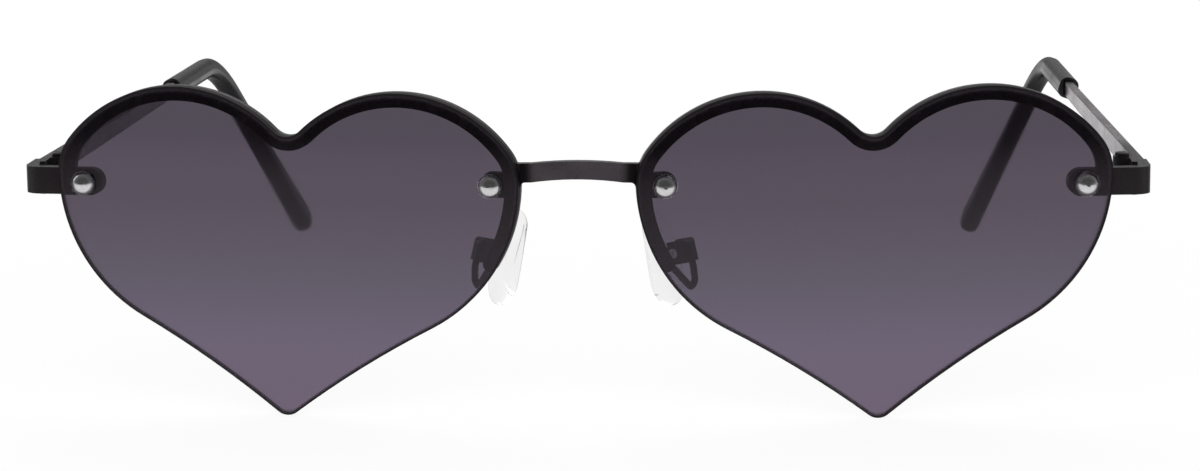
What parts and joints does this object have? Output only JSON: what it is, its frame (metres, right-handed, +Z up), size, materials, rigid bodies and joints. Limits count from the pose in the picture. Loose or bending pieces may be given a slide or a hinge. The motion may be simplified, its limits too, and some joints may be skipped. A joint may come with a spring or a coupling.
{
  "type": "heart shaped sunglasses",
  "caption": "Folding sunglasses with flat heart shaped tinted lenses screwed in front of a black wire rim, hinged temples with plastic tips and rocking nose pads.",
  "frame": {"origin": "middle of the open sunglasses' box, on the floor that the heart tips and temple tips stand on", "axes": "+Z up, the lenses face -Y, the wearer's left side is +X"},
  "size_m": [0.145, 0.1436, 0.0425],
  "materials": {
    "lens_tint": "polished grey tint",
    "black_metal": "glossy black lacquer",
    "gunmetal": "satin dark grey lacquer",
    "polished_steel": "polished",
    "clear_plastic": "clear",
    "clear_soft": "clear soft silicone",
    "black_plastic": "smooth black"
  },
  "bodies": {
    "front": {"left_lens": "lens_tint", "left_rim": "black_metal", "left_end_piece": "black_metal", "left_front_hinge": "black_metal", "left_pad_arm": "black_metal", "left_pad_box": "black_metal", "right_lens": "lens_tint", "right_rim": "black_metal", "right_end_piece": "black_metal", "right_front_hinge": "black_metal", "right_pad_arm": "black_metal", "right_pad_box": "black_metal", "bridge": "black_metal", "lens_screws": "polished_steel", "lens_washers": "clear_plastic", "lens_nuts": "polished_steel", "hinge_screws": "black_metal", "pad_screws": "polished_steel"},
    "left_temple_arm": {"left_temple": "gunmetal", "left_temple_hinge": "black_metal", "left_temple_tip": "black_plastic"},
    "left_pad": {"left_nose_pad": "clear_soft", "left_pad_insert": "black_metal"},
    "right_temple_arm": {"right_temple": "gunmetal", "right_temple_hinge": "black_metal", "right_temple_tip": "black_plastic"},
    "right_pad": {"right_nose_pad": "clear_soft", "right_pad_insert": "black_metal"}
  },
  "joints": [
    {"name": "left_temple_fold", "type": "hinge", "parent": "front", "child": "left_temple_arm", "pos_m": [0.06941, -0.05553, 0.02989], "axis": [0, -0.017, 0.9999], "range_deg": [0, 87]},
    {"name": "right_temple_fold", "type": "hinge", "parent": "front", "child": "right_temple_arm", "pos_m": [-0.06941, -0.05553, 0.02989], "axis": [0, 0.017, -0.9999], "range_deg": [0, 79]},
    {"name": "left_pad_rock", "type": "hinge", "parent": "front", "child": "left_pad", "pos_m": [0.01228, -0.05815, 0.01993], "axis": [0.4226, 0.9063, 0], "range_deg": [-8, 8]},
    {"name": "right_pad_rock", "type": "hinge", "parent": "front", "child": "right_pad", "pos_m": [-0.01228, -0.05815, 0.01993], "axis": [-0.4226, 0.9063, 0], "range_deg": [-8, 8]}
  ]
}
